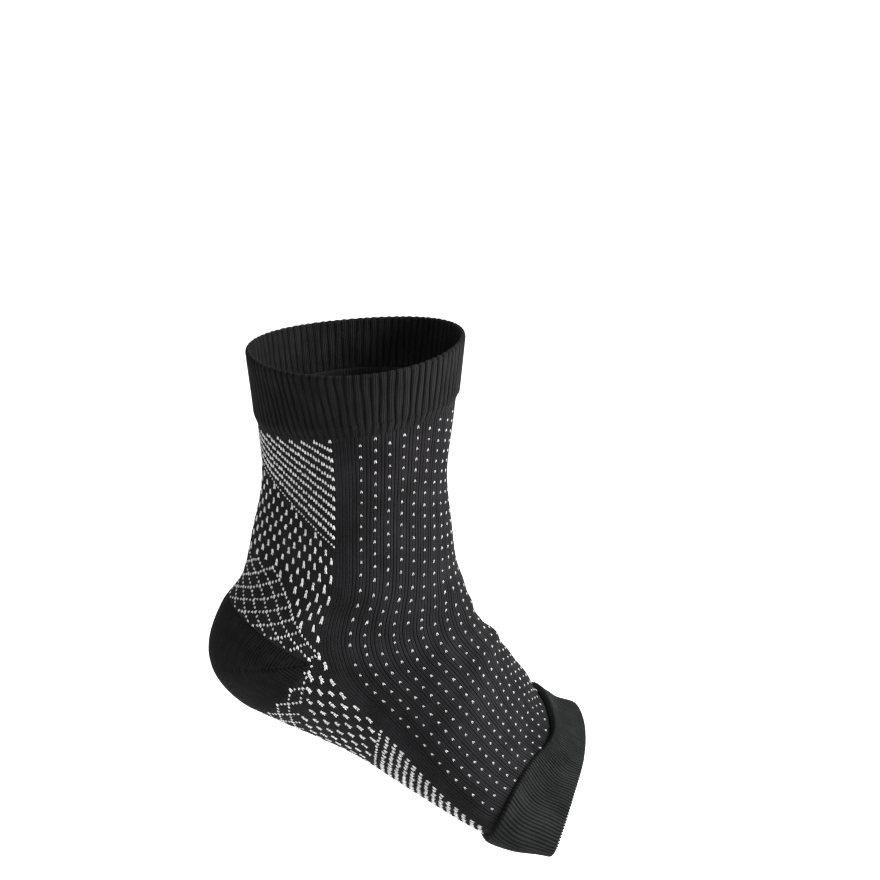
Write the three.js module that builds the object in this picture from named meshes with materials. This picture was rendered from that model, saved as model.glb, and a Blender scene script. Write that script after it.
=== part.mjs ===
// Open-toe compression sock for a right ankle and foot, in the stretched form it has when worn.
// Millimetres. +Z runs up the leg, +X towards the toes and -Y to the outer side of the foot.
// The origin is the middle of the ankle hollow, where the ankle joint sits.
import * as THREE from 'three';

// Knit: every second column of the wall is the crest of a rib, the ones between are grooves.
const RIBS = 42;
const WALL_COLUMNS = RIBS * 2;
const RIB_DEPTH = 0.5;
const WALL = 1.7;
const CUFF_RIBS = 84;
const CUFF_COLUMNS = CUFF_RIBS * 2;
const CUFF_RIB_DEPTH = 0.6;
const SEAM_GAP = 0.35;

// Sections of the sock, from the top rim down the leg, round the heel and along the foot.
// x, z: middle of the section; lean: tilt of its front up from +X, in degrees;
// depth: front to back, or instep to sole; width: side to side;
// roll: turn of the foot that lowers its outer edge, in degrees; egg: front wider than back;
// wedge: inner side deeper than outer side; blunt: 2 is an ellipse, more is squarer.
const STATION_COLUMNS = ['name', 'x', 'z', 'lean', 'depth', 'width', 'roll', 'egg', 'wedge', 'blunt'];
const STATIONS = [
  ['rim', 1.5, 113.5, 4, 98, 92, 0, 0.04, 0.00, 2.0],
  ['cuff_foot', 1.5, 78.0, 3, 90.5, 77, 0, 0.05, 0.00, 2.0],
  ['narrow', 0.6, 49.0, 2, 85.7, 71, 0, 0.08, 0.00, 2.0],
  ['above_ankle', -0.7, 23.0, 1, 92.7, 70, 0, 0.10, 0.00, 2.0],
  ['ankle', -2.3, 3.0, 4, 100.4, 75, 1, 0.06, 0.00, 2.0],
  ['heel_top', -5.5, -9.5, 6, 114, 73, 2, 0.00, 0.00, 2.1],
  ['heel_back', -7.5, -22.5, 10, 124, 70, 3, -0.04, 0.00, 2.1],
  ['heel_mid', -5.5, -33.0, 14, 127, 69, 4, -0.05, 0.00, 2.1],
  ['heel_low', 1.0, -42.5, 19, 122, 69, 6, -0.05, 0.00, 2.1],
  ['heel_sole', 11.0, -50.0, 23, 112, 70, 9, -0.04, 0.03, 2.2],
  ['arch_back', 22.5, -57.5, 28, 98, 73, 13, -0.02, 0.06, 2.3],
  ['arch', 34.0, -65.5, 34, 86, 77, 17, 0.00, 0.10, 2.3],
  ['midfoot', 46.0, -76.0, 41, 74, 82, 20, 0.00, 0.15, 2.3],
  ['instep_end', 59.5, -87.0, 48, 61, 88, 22, 0.00, 0.20, 2.2],
  ['band_start', 74.0, -96.5, 54, 47, 91, 23, 0.00, 0.20, 2.2],
  ['band_end', 99.0, -106.5, 68, 38, 89, 22, 0.00, 0.20, 2.2],
].map((row) => Object.fromEntries(row.map((value, i) => [STATION_COLUMNS[i], value])));
const stationNumber = (name) => STATIONS.findIndex((station) => station.name === name);
const RIM = stationNumber('rim');
const CUFF_FOOT = stationNumber('cuff_foot');
const BAND_START = stationNumber('band_start');
const BAND_END = stationNumber('band_end');

// Fullness and soft creases across the front of the ankle, a dip and a pucker at the toe band, and
// a bulge under the ball of the foot, one row each: the station and turn of its middle, how high it
// stands, and how far it spreads in stations and turns.
const CREASE_COLUMNS = ['station', 'turn', 'height', 'spread', 'reach'];
const CREASES = [
  [6.3, 0, 0.9, 0.45, 0.10],
  [8.0, 0, 0.8, 0.45, 0.09],
  [9.6, -0.04, 2.0, 1.00, 0.12],
  [9.7, 0, 0.9, 0.45, 0.10],
  [11.3, 0, 0.7, 0.40, 0.11],
  [13.5, -0.15, -2.2, 0.50, 0.09],
  [14.35, -0.16, -1.6, 0.30, 0.10],
  [14.45, 0.29, 2.4, 0.35, 0.10],
].map((row) => Object.fromEntries(row.map((value, i) => [CREASE_COLUMNS[i], value])));

// The heel pocket is a lens let into the back of the tube. Its two corners lie at the sides,
// and the course that runs between them over the front of the ankle joins the leg to the foot.
// Its outline opens from a corner as a sine, raised to a power below 1 to make the corner blunter.
const POCKET_CORNER_RIB = 12;
const JOIN_AT_FRONT = 4.6;
const JOIN_AT_CORNER = 6.6;
const POCKET_TOP = 4.65;
const POCKET_FOOT = 8.75;
const POCKET_POWER = 0.8;
const POCKET_WALL = 1.9;
const POCKET_SEAM = 0.03;

const turnToRad = (turn) => turn * 2 * Math.PI;
const mix = (a, b, f) => a + (b - a) * f;

// A section between two stations, each measure on a smooth curve through its neighbours.
function sectionAt(t) {
  const last = STATIONS.length - 1;
  const i = Math.min(Math.max(Math.floor(t), 0), last - 1);
  const f = t - i;
  const section = {};
  for (const column of STATION_COLUMNS.slice(1)) {
    const p1 = STATIONS[i][column];
    const p2 = STATIONS[i + 1][column];
    const p0 = i > 0 ? STATIONS[i - 1][column] : 2 * p1 - p2;
    const p3 = i + 2 <= last ? STATIONS[i + 2][column] : 2 * p2 - p1;
    const bend = (2 * p0 - 5 * p1 + 4 * p2 - p3) * f * f + (3 * p1 - p0 - 3 * p2 + p3) * f ** 3;
    section[column] = p1 + 0.5 * ((p2 - p0) * f + bend);
  }
  return section;
}

// One closed section as points, from the front round the outer side, the back and the inner side.
const SECTION_STEPS = 240;
const power = (value, exponent) => Math.sign(value) * Math.abs(value) ** exponent;
function sectionPoints(t) {
  const s = sectionAt(t);
  const roll = THREE.MathUtils.degToRad(s.roll);
  const lean = THREE.MathUtils.degToRad(s.lean);
  const exponent = 2 / s.blunt;
  const points = [];
  for (let i = 0; i <= SECTION_STEPS; i++) {
    const angle = turnToRad(i / SECTION_STEPS);
    const forward = power(Math.cos(angle), exponent) * s.depth / 2 * (1 - s.wedge * Math.sin(angle));
    const outward = power(Math.sin(angle), exponent) * s.width / 2 * (1 + s.egg * Math.cos(angle));
    const up = forward * Math.cos(roll) - outward * Math.sin(roll);
    const side = forward * Math.sin(roll) + outward * Math.cos(roll);
    points.push(new THREE.Vector3(s.x + up * Math.cos(lean), -side, s.z + up * Math.sin(lean)));
  }
  return points;
}

// A point of the sock's surface: t is the station and turn the way round from the front,
// shared evenly along the outer and the inner half of the section.
function surfacePoint(t, turn) {
  const points = sectionPoints(t);
  const along = [0];
  for (let i = 1; i < points.length; i++) along.push(along[i - 1] + points[i].distanceTo(points[i - 1]));
  const half = along[SECTION_STEPS / 2];
  const whole = along[SECTION_STEPS];
  const way = turn - Math.floor(turn);
  const want = way <= 0.5 ? way * 2 * half : half + (way - 0.5) * 2 * (whole - half);
  let i = 1;
  while (i < SECTION_STEPS && along[i] < want) i++;
  const f = (want - along[i - 1]) / (along[i] - along[i - 1]);
  return points[i - 1].clone().lerp(points[i], f);
}

function creaseHeight(t, turn) {
  let height = 0;
  for (const crease of CREASES) {
    const aside = turn - crease.turn - Math.round(turn - crease.turn);
    const away = ((t - crease.station) / crease.spread) ** 2 + (aside / crease.reach) ** 2;
    height += crease.height * Math.exp(-away);
  }
  return height;
}

// The same point moved out of the surface (or in, for a negative offset).
const STEP_T = 0.02;
const STEP_TURN = 0.002;
function offsetPoint(t, turn, offset) {
  const down = surfacePoint(t + STEP_T, turn).sub(surfacePoint(t - STEP_T, turn));
  const round = surfacePoint(t, turn + STEP_TURN).sub(surfacePoint(t, turn - STEP_TURN));
  const normal = round.cross(down).normalize();
  return surfacePoint(t, turn).addScaledVector(normal, offset + creaseHeight(t, turn));
}

// Where the leg fabric ends (upper) and the foot fabric begins (lower) on the wale at this turn.
function joinStations(turn) {
  const rib = Math.abs(turn - Math.round(turn)) * RIBS;
  if (rib <= POCKET_CORNER_RIB) {
    const sag = Math.sin(Math.PI / 2 * rib / POCKET_CORNER_RIB);
    const join = mix(JOIN_AT_FRONT, JOIN_AT_CORNER, sag);
    return { upper: join, lower: join };
  }
  const share = (rib - POCKET_CORNER_RIB) / (RIBS / 2 - POCKET_CORNER_RIB);
  const back = Math.sin(Math.PI / 2 * share) ** POCKET_POWER;
  return { upper: mix(JOIN_AT_CORNER, POCKET_TOP, back), lower: mix(JOIN_AT_CORNER, POCKET_FOOT, back) };
}

// A mesh from points kept by key, so that neighbouring faces share their corners.
class Shell {
  constructor() {
    this.keys = new Map();
    this.positions = [];
    this.faces = [];
  }

  corner(key, makePoint) {
    if (!this.keys.has(key)) {
      this.keys.set(key, this.positions.length / 3);
      this.positions.push(...makePoint().toArray());
    }
    return this.keys.get(key);
  }

  quad(a, b, c, d) {
    for (const face of [[a, b, c], [a, c, d]]) {
      if (new Set(face).size === 3) this.faces.push(...face);
    }
  }

  mesh(name, color, roughness) {
    const geometry = new THREE.BufferGeometry();
    geometry.setAttribute('position', new THREE.Float32BufferAttribute(this.positions, 3));
    geometry.setIndex(this.faces);
    geometry.computeVertexNormals();
    const material = new THREE.MeshStandardMaterial({ color, roughness, metalness: 0 });
    const mesh = new THREE.Mesh(geometry, material);
    mesh.name = name;
    return mesh;
  }
}

// The ribbed tube of the leg and foot, open at the top, at the toes and at the heel pocket.
const BODY_TOP = CUFF_FOOT - 0.25;
const BODY_END = BAND_START + 0.38;
const LEG_SHARES = [0, 0.06, 0.29, 0.53, 0.77, 1];
const FOOT_SHARES = [0, 0.12, 0.25, 0.38, 0.52, 0.66, 0.8, 0.89, 0.965, 1];
function makeBody() {
  const shell = new Shell();
  const corner = (part, row, column, side) => {
    const index = column % WALL_COLUMNS;
    const turn = index / WALL_COLUMNS;
    const join = joinStations(turn);
    const shared = row === 0 && part === 'foot' && join.upper === join.lower;
    const key = shared ? ['leg', LEG_SHARES.length - 1, index, side] : [part, row, index, side];
    return shell.corner(key.join(), () => {
      const t = part === 'leg'
        ? mix(BODY_TOP, join.upper, LEG_SHARES[row])
        : mix(join.lower, BODY_END, FOOT_SHARES[row]);
      const groove = index % 2 === 1 ? RIB_DEPTH : 0;
      return offsetPoint(t, turn, side === 'outer' ? -groove : -WALL);
    });
  };
  for (let column = 0; column < WALL_COLUMNS; column++) {
    const next = column + 1;
    for (const [part, shares] of [['leg', LEG_SHARES], ['foot', FOOT_SHARES]]) {
      for (let row = 0; row + 1 < shares.length; row++) {
        shell.quad(corner(part, row, column, 'outer'), corner(part, row, next, 'outer'),
          corner(part, row + 1, next, 'outer'), corner(part, row + 1, column, 'outer'));
        shell.quad(corner(part, row, next, 'inner'), corner(part, row, column, 'inner'),
          corner(part, row + 1, column, 'inner'), corner(part, row + 1, next, 'inner'));
      }
    }
    const edge = (part, row, from, to) => shell.quad(corner(part, row, from, 'outer'),
      corner(part, row, from, 'inner'), corner(part, row, to, 'inner'), corner(part, row, to, 'outer'));
    edge('leg', 0, column, next);
    edge('foot', FOOT_SHARES.length - 1, next, column);
    const ribs = [column, next].map((c) => Math.min(c, WALL_COLUMNS - c) / 2);
    if (Math.max(...ribs) > POCKET_CORNER_RIB) {
      edge('leg', LEG_SHARES.length - 1, next, column);
      edge('foot', 0, column, next);
    }
  }
  return shell.mesh('sock_body', 0x2c2c2e, 0.92);
}

// The plain, finer-knitted pocket that fills the opening at the heel, edge to edge with the tube.
const POCKET_ROWS = 6;
function makePocket() {
  const shell = new Shell();
  const first = POCKET_CORNER_RIB * 2 + 1;
  const last = WALL_COLUMNS - first;
  const corner = (row, column, side) => shell.corner([row, column, side].join(), () => {
    const turn = column / WALL_COLUMNS;
    const join = joinStations(turn);
    const t = mix(join.upper + POCKET_SEAM, join.lower - POCKET_SEAM, row / POCKET_ROWS);
    return offsetPoint(t, turn, side === 'outer' ? 0 : -POCKET_WALL);
  });
  for (let column = first; column < last; column++) {
    const next = column + 1;
    for (let row = 0; row < POCKET_ROWS; row++) {
      shell.quad(corner(row, column, 'outer'), corner(row, next, 'outer'),
        corner(row + 1, next, 'outer'), corner(row + 1, column, 'outer'));
      shell.quad(corner(row, next, 'inner'), corner(row, column, 'inner'),
        corner(row + 1, column, 'inner'), corner(row + 1, next, 'inner'));
    }
    shell.quad(corner(0, column, 'outer'), corner(0, column, 'inner'),
      corner(0, next, 'inner'), corner(0, next, 'outer'));
    shell.quad(corner(POCKET_ROWS, next, 'outer'), corner(POCKET_ROWS, next, 'inner'),
      corner(POCKET_ROWS, column, 'inner'), corner(POCKET_ROWS, column, 'outer'));
  }
  for (let row = 0; row < POCKET_ROWS; row++) {
    shell.quad(corner(row, first, 'outer'), corner(row + 1, first, 'outer'),
      corner(row + 1, first, 'inner'), corner(row, first, 'inner'));
    shell.quad(corner(row, last, 'inner'), corner(row + 1, last, 'inner'),
      corner(row + 1, last, 'outer'), corner(row, last, 'outer'));
  }
  return shell.mesh('heel_pocket', 0x1d1d1f, 0.95);
}

// A ribbed band swept round the sock. Each row of its outline gives a station, how far that corner
// stands out of the surface, whether the ribs press into it there, and how its edge runs: beyond
// its station at the sides (sag), at the front (bow) or where the sole begins (step), short of it
// in all the front half (rise) or where the inner side begins (tuck).
const BOW_SPREAD = 0.1;
const STEP_PLACE = 0.3;
const STEP_SPREAD = 0.07;
const TUCK_TURN = -0.2;
const TUCK_SPREAD = 0.08;
const swell = (value, middle, spread) => Math.exp(-(((value - middle) / spread) ** 2));
function makeBand(name, outline, color) {
  const shell = new Shell();
  const corner = (row, column) => {
    const index = column % CUFF_COLUMNS;
    const at = row % outline.length;
    return shell.corner([at, index].join(), () => {
      const { station, out, ribbed, sag = 0, bow = 0, step = 0, rise = 0, tuck = 0 } = outline[at];
      const turn = index / CUFF_COLUMNS;
      const aside = turn - Math.round(turn);
      const beyond = sag * Math.sin(turnToRad(turn)) ** 2 + bow * swell(aside, 0, BOW_SPREAD)
        + step * swell(aside, STEP_PLACE, STEP_SPREAD);
      const short = rise * (1 + Math.cos(turnToRad(turn))) / 2 + tuck * swell(aside, TUCK_TURN, TUCK_SPREAD);
      const groove = ribbed && index % 2 === 1 ? CUFF_RIB_DEPTH : 0;
      return offsetPoint(station + beyond - short, turn, out - groove);
    });
  };
  for (let column = 0; column < CUFF_COLUMNS; column++) {
    for (let row = 0; row < outline.length; row++) {
      shell.quad(corner(row, column), corner(row, column + 1),
        corner(row + 1, column + 1), corner(row + 1, column));
    }
  }
  return shell.mesh(name, color, 0.9);
}

// Both bands turn over a rounded edge, lap over the tube and stop just short of its end inside.
// Lengths along the sock are in stations, heights in millimetres.
const EDGE_ROUND = 0.05;
const END_CLEARANCE = 0.015;
const BAND_IN = -1.1;

// Turned-over welt at the top: its lower lip laps over the end of the tube, higher in front.
const CUFF_LIP = CUFF_FOOT + 0.05;
const CUFF_LIP_RISE = 0.2;
const CUFF_LIP_TAPER = 0.12;
const CUFF_LIP_EDGE = 0.3;
const CUFF_OUT = 1.5;
const RIM_OUT = -0.2;
const RIM_SAG = 0.08;
const cuffOutline = [
  { station: RIM, out: RIM_OUT, ribbed: false, sag: RIM_SAG },
  { station: RIM + EDGE_ROUND, out: CUFF_OUT, ribbed: true, sag: RIM_SAG },
  { station: CUFF_LIP - CUFF_LIP_TAPER, out: CUFF_OUT, ribbed: true, rise: CUFF_LIP_RISE },
  { station: CUFF_LIP, out: SEAM_GAP + CUFF_LIP_EDGE, ribbed: false, rise: CUFF_LIP_RISE },
  { station: CUFF_LIP, out: SEAM_GAP, ribbed: false, rise: CUFF_LIP_RISE },
  { station: BODY_TOP - END_CLEARANCE, out: SEAM_GAP, ribbed: false },
  { station: BODY_TOP - END_CLEARANCE, out: BAND_IN, ribbed: false },
  { station: RIM + EDGE_ROUND, out: BAND_IN, ribbed: false, sag: RIM_SAG },
];

// Broad band behind the toes: its back edge is a raised roll that laps over the tube. Both its
// edges bow forwards on top of the foot and tuck back where the inner side begins; the back edge
// also steps forwards where the sole begins.
const BAND_LIP = BAND_START - 0.08;
const BAND_RIM = BAND_END + 0.04;
const BAND_ROLL_ROUND = 0.03;
const BAND_ROLL = 2.6;
const BAND_PUCKER = BAND_START + 0.35;
const BAND_OUT = 1.8;
const BAND_EDGE_OUT = 0.4;
const BAND_UNDER = mix(BAND_LIP, BODY_END, 0.5);
const bandLip = { bow: 0.36, step: 0.18, tuck: 0.5 };
const bandUnder = { bow: 0.18, step: 0.09, tuck: 0.25 };
const bandRim = { bow: 0.08, tuck: 0.25 };
const bandOutline = [
  { station: BAND_LIP, out: SEAM_GAP, ribbed: false, ...bandLip },
  { station: BAND_LIP + BAND_ROLL_ROUND, out: BAND_ROLL, ribbed: true, ...bandLip },
  { station: BAND_PUCKER, out: BAND_OUT, ribbed: true, ...bandLip },
  { station: BAND_RIM - EDGE_ROUND, out: BAND_OUT, ribbed: true, ...bandRim },
  { station: BAND_RIM, out: BAND_EDGE_OUT, ribbed: false, ...bandRim },
  { station: BAND_RIM - EDGE_ROUND, out: BAND_IN, ribbed: false, ...bandRim },
  { station: BODY_END + END_CLEARANCE, out: BAND_IN, ribbed: false },
  { station: BODY_END + END_CLEARANCE, out: SEAM_GAP, ribbed: false },
  { station: BAND_UNDER, out: SEAM_GAP, ribbed: false, ...bandUnder },
];

const sock = new THREE.Group();
sock.add(makeBand('ankle_cuff', cuffOutline, 0x2a2b2b));
sock.add(makeBody());
sock.add(makePocket());
sock.add(makeBand('toe_band', bandOutline, 0x323634));
export default sock;
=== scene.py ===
import math

import bpy
import numpy as np
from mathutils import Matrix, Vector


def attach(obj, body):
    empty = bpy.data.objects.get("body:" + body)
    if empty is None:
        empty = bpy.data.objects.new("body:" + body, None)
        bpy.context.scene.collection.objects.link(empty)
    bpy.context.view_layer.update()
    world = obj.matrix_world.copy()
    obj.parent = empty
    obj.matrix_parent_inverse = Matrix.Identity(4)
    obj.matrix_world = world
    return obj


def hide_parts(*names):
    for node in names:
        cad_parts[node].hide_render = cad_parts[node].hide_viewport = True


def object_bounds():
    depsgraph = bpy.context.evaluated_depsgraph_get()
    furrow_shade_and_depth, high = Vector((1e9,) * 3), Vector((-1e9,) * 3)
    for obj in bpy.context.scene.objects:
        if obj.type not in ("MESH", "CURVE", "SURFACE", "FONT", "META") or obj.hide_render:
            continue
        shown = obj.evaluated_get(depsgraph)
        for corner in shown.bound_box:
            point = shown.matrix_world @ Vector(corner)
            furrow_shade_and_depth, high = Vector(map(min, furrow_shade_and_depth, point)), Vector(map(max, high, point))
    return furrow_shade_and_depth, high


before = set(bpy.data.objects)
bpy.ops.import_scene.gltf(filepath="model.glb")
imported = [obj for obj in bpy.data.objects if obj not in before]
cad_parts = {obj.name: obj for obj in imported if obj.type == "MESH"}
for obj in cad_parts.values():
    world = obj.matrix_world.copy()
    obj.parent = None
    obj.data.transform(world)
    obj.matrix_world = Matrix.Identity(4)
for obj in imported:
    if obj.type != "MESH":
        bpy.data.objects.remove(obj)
cad_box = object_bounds()


# The tube of the leg and foot.
# A seamless circular knit of charcoal nylon over elastane, 168 wales round, in a rib of three
# wales and one. It is knitted from the cuff down, turns round the heel and ends under the toe band.

MM = 0.001
WALES = 168
RIB_WALES = 4
LEG_COURSES = 86
FOOT_COURSES = 92

# Sections from the rim round the heel to the open end, in millimetres and degrees. Columns: x, z,
# lean of the front up from +X, depth front to back, width, roll of the foot, egg, wedge and bluntness.
SECTIONS = np.array((
    (1.5, 113.5, 4, 98.0, 92, 0, 0.04, 0.00, 2.0),
    (1.5, 78.0, 3, 90.5, 77, 0, 0.05, 0.00, 2.0),
    (0.6, 49.0, 2, 85.7, 71, 0, 0.08, 0.00, 2.0),
    (-0.7, 23.0, 1, 92.7, 70, 0, 0.10, 0.00, 2.0),
    (-2.3, 3.0, 4, 100.4, 75, 1, 0.06, 0.00, 2.0),
    (-5.5, -9.5, 6, 114.0, 73, 2, 0.00, 0.00, 2.1),
    (-7.5, -22.5, 10, 124.0, 70, 3, -0.04, 0.00, 2.1),
    (-5.5, -33.0, 14, 127.0, 69, 4, -0.05, 0.00, 2.1),
    (1.0, -42.5, 19, 122.0, 69, 6, -0.05, 0.00, 2.1),
    (11.0, -50.0, 23, 112.0, 70, 9, -0.04, 0.03, 2.2),
    (22.5, -57.5, 28, 98.0, 73, 13, -0.02, 0.06, 2.3),
    (34.0, -65.5, 34, 86.0, 77, 17, 0.00, 0.10, 2.3),
    (46.0, -76.0, 41, 74.0, 82, 20, 0.00, 0.15, 2.3),
    (59.5, -87.0, 48, 61.0, 88, 22, 0.00, 0.20, 2.2),
    (74.0, -96.5, 54, 47.0, 91, 23, 0.00, 0.20, 2.2),
    (99.0, -106.5, 68, 38.0, 89, 22, 0.00, 0.20, 2.2),
))
# Fullness and creases of the ankle, a dip and a pucker at the toe band and a bulge at the front of
# the sole. Columns: station, turn, height in millimetres, spread along the sock and reach round it.
CREASES = (
    (6.3, 0.0, 0.9, 0.45, 0.10),
    (8.0, 0.0, 0.8, 0.45, 0.09),
    (9.6, -0.04, 2.0, 1.00, 0.12),
    (9.7, 0.0, 0.9, 0.45, 0.10),
    (11.3, 0.0, 0.7, 0.40, 0.11),
    (13.5, -0.15, -2.2, 0.50, 0.09),
    (14.35, -0.16, -1.6, 0.30, 0.10),
    (14.45, 0.29, 2.4, 0.35, 0.10),
)
GRID_STEP = 0.02
GRID_TURNS = WALES * 4
OUTLINE_STEPS = 720
grid_stations = np.arange(-0.2, 15.5, GRID_STEP)
grid_turns = np.linspace(0, 1, GRID_TURNS + 1)


def mix(a, b, share):
    return a + (b - a) * share


def ease(furrow_shade_and_depth, high, value):
    """0 below low, 1 above high and a smooth rise between."""
    share = np.clip((value - furrow_shade_and_depth) / (high - furrow_shade_and_depth), 0, 1)
    return share * share * (3 - 2 * share)


def swell(value, middle, spread):
    """A soft hump of height 1 at the middle."""
    return np.exp(-((value - middle) / spread) ** 2)


def between_rows(table, place):
    """Measures at broken row numbers, on smooth curves through the rows of a table."""
    first = np.clip(np.floor(place).astype(int), 0, len(table) - 2)
    share = (place - first)[..., None]
    run = np.vstack([2 * table[0] - table[1], table, 2 * table[-1] - table[-2]])
    a, b, c, d = (run[first + k] for k in range(4))
    bend = (2 * a - 5 * b + 4 * c - d) * share ** 2 + (3 * b - a - 3 * c + d) * share ** 3
    return b + 0.5 * ((c - a) * share + bend)


def sock_rings(stations):
    """Rings of points round the sock, one for each station, from the front by the outer side."""
    x, z, lean, depth, width, roll, egg, wedge, blunt = between_rows(SECTIONS, stations).T[:, :, None]
    lean, roll = np.radians(lean), np.radians(roll)
    angle = np.linspace(0, 2 * math.pi, OUTLINE_STEPS + 1)
    cosine, sine = np.cos(angle), np.sin(angle)
    forward = np.sign(cosine) * np.abs(cosine) ** (2 / blunt) * depth / 2 * (1 - wedge * sine)
    outward = np.sign(sine) * np.abs(sine) ** (2 / blunt) * width / 2 * (1 + egg * cosine)
    up = forward * np.cos(roll) - outward * np.sin(roll)
    side = forward * np.sin(roll) + outward * np.cos(roll)
    outlines = np.stack([x + up * np.cos(lean), -side, z + up * np.sin(lean)], axis=-1) * MM
    rings = np.empty((len(stations), GRID_TURNS + 1, 3))
    half, half_turns = OUTLINE_STEPS // 2, GRID_TURNS // 2
    for ring, outline in zip(rings, outlines):
        steps = np.linalg.norm(np.diff(outline, axis=0), axis=1)
        along = np.concatenate([[0], np.cumsum(steps)])
        outer_half = np.linspace(0, along[half], half_turns + 1)
        inner_half = np.linspace(along[half], along[-1], half_turns + 1)
        places = np.concatenate([outer_half, inner_half[1:]])
        for axis in range(3):
            ring[:, axis] = np.interp(places, along, outline[:, axis])
    return rings


def ring_normals(rings):
    down = np.gradient(rings, axis=0)
    open_rings = rings[:, :-1]
    round_way = np.roll(open_rings, -1, axis=1) - np.roll(open_rings, 1, axis=1)
    round_way = np.concatenate([round_way, round_way[:, :1]], axis=1)
    normals = np.cross(round_way, down)
    return normals / np.linalg.norm(normals, axis=-1, keepdims=True)


sock = sock_rings(grid_stations)
for station, turn, height, spread, reach in CREASES:
    aside = (grid_turns - turn + 0.5) % 1.0 - 0.5
    hump = swell(grid_stations, station, spread)[:, None] * swell(aside, 0, reach)
    sock += ring_normals(sock) * (hump * height * MM)[..., None]
sock_out = ring_normals(sock)
sock_along = np.linalg.norm(np.diff(sock, axis=0), axis=2).cumsum(axis=0)
sock_along = np.concatenate([np.zeros((1, GRID_TURNS + 1)), sock_along])


def between(table, row, column):
    """A table's values at broken rows and columns, straight between its entries."""
    r = np.clip(np.floor(row).astype(int), 0, len(table) - 2)
    c = np.clip(np.floor(column).astype(int), 0, table.shape[1] - 2)
    row_share, column_share = row - r, column - c
    if table.ndim == 3:
        row_share, column_share = row_share[..., None], column_share[..., None]
    upper = mix(table[r, c], table[r, c + 1], column_share)
    lower = mix(table[r + 1, c], table[r + 1, c + 1], column_share)
    return mix(upper, lower, row_share)


def on_sock(station, turn, out):
    """Points of the sock at stations and turns, lifted out of its surface by out."""
    station, turn, out = np.broadcast_arrays(station, turn, out)
    row = (station - grid_stations[0]) / GRID_STEP
    column = turn % 1.0 * GRID_TURNS
    return between(sock, row, column) + between(sock_out, row, column) * out[..., None]


# Places of the back panel, the heel, and the lips of the cuff and the toe band. Along the sock they
# are stations, row numbers of SECTIONS. Round it they are wales from the front, or turns at the band.
PANEL_WALE = 48
PANEL_AT_HEEL = 44
FRONT_AT_HEEL = 1.4
POCKET_CORNER = 48
CORNER_WALE = 52
HEEL_IN_FRONT = 4.6
HEEL_TOP = 4.65
TURN_AT_CORNER = 6.7
TURN_FOOT = 9.0
POCKET_AT_CORNER = 6.6
POCKET_FOOT = 8.75
POCKET_POWER = 0.8
CUFF_LIP = 1.05
CUFF_LIP_RISE = 0.2
BAND_LIP = 13.92
BAND_LIP_BOW = 0.36
BAND_LIP_STEP = 0.18
BAND_LIP_TUCK = 0.5
BOW_SPREAD = 0.1
STEP_TURN = 0.3
STEP_SPREAD = 0.07
TUCK_TURN = -0.2
TUCK_SPREAD = 0.08


def from_front(wale):
    """Wales from the front centre, the shorter way round."""
    return np.abs((wale + WALES / 2) % WALES - WALES / 2)


def at_front(turn):
    """1 at the front centre, 0 at the back."""
    return 0.5 + 0.5 * np.cos(2 * math.pi * turn)


def at_sides(turn):
    """1 at the middle of the outer and inner side, 0 at the front and back."""
    return np.sin(2 * math.pi * turn) ** 2


def cuff_lip(turn):
    return CUFF_LIP - CUFF_LIP_RISE * at_front(turn)


def band_edge(turn, bow, step, tuck):
    """How an edge of the toe band runs: forwards on top and where the sole begins, back where the
    inner side begins."""
    aside = (turn + 0.5) % 1.0 - 0.5
    forwards = bow * swell(aside, 0, BOW_SPREAD) + step * swell(aside, STEP_TURN, STEP_SPREAD)
    return forwards - tuck * swell(aside, TUCK_TURN, TUCK_SPREAD)


def band_lip(turn):
    return BAND_LIP + band_edge(turn, BAND_LIP_BOW, BAND_LIP_STEP, BAND_LIP_TUCK)


def heel_lens(place, corner, at_corner, heel_foot, power):
    """Stations of the upper and lower edge of a lens at the heel, one line in front of its corners.
    A power below 1 makes the corners blunter."""
    away = from_front(place)
    line = mix(HEEL_IN_FRONT, at_corner, np.sin(math.pi / 2 * np.clip(away / corner, 0, 1)))
    share = np.clip((away - corner) / (WALES / 2 - corner), 0, 1)
    back = np.sin(math.pi / 2 * share) ** power
    upper = np.where(share > 0, mix(at_corner, HEEL_TOP, back), line)
    lower = np.where(share > 0, mix(at_corner, heel_foot, back), line)
    return upper, lower


def course_turn(place):
    """Where the leg's courses end and the foot's courses begin."""
    return heel_lens(place, PANEL_AT_HEEL, TURN_AT_CORNER, TURN_FOOT, power=1.0)


def pocket_edges(place):
    """Where the heel pocket is let in, over a few of those courses."""
    return heel_lens(place, POCKET_CORNER, POCKET_AT_CORNER, POCKET_FOOT, POCKET_POWER)


# Wales from the front over which the leg's sides ride up and come down again, and the share of the
# leg over which that ends.
LIFT_WALES = (8, 44)
DROP_WALES = (46, 86)
DROP_SHARE = (0.58, 0.92)


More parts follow.
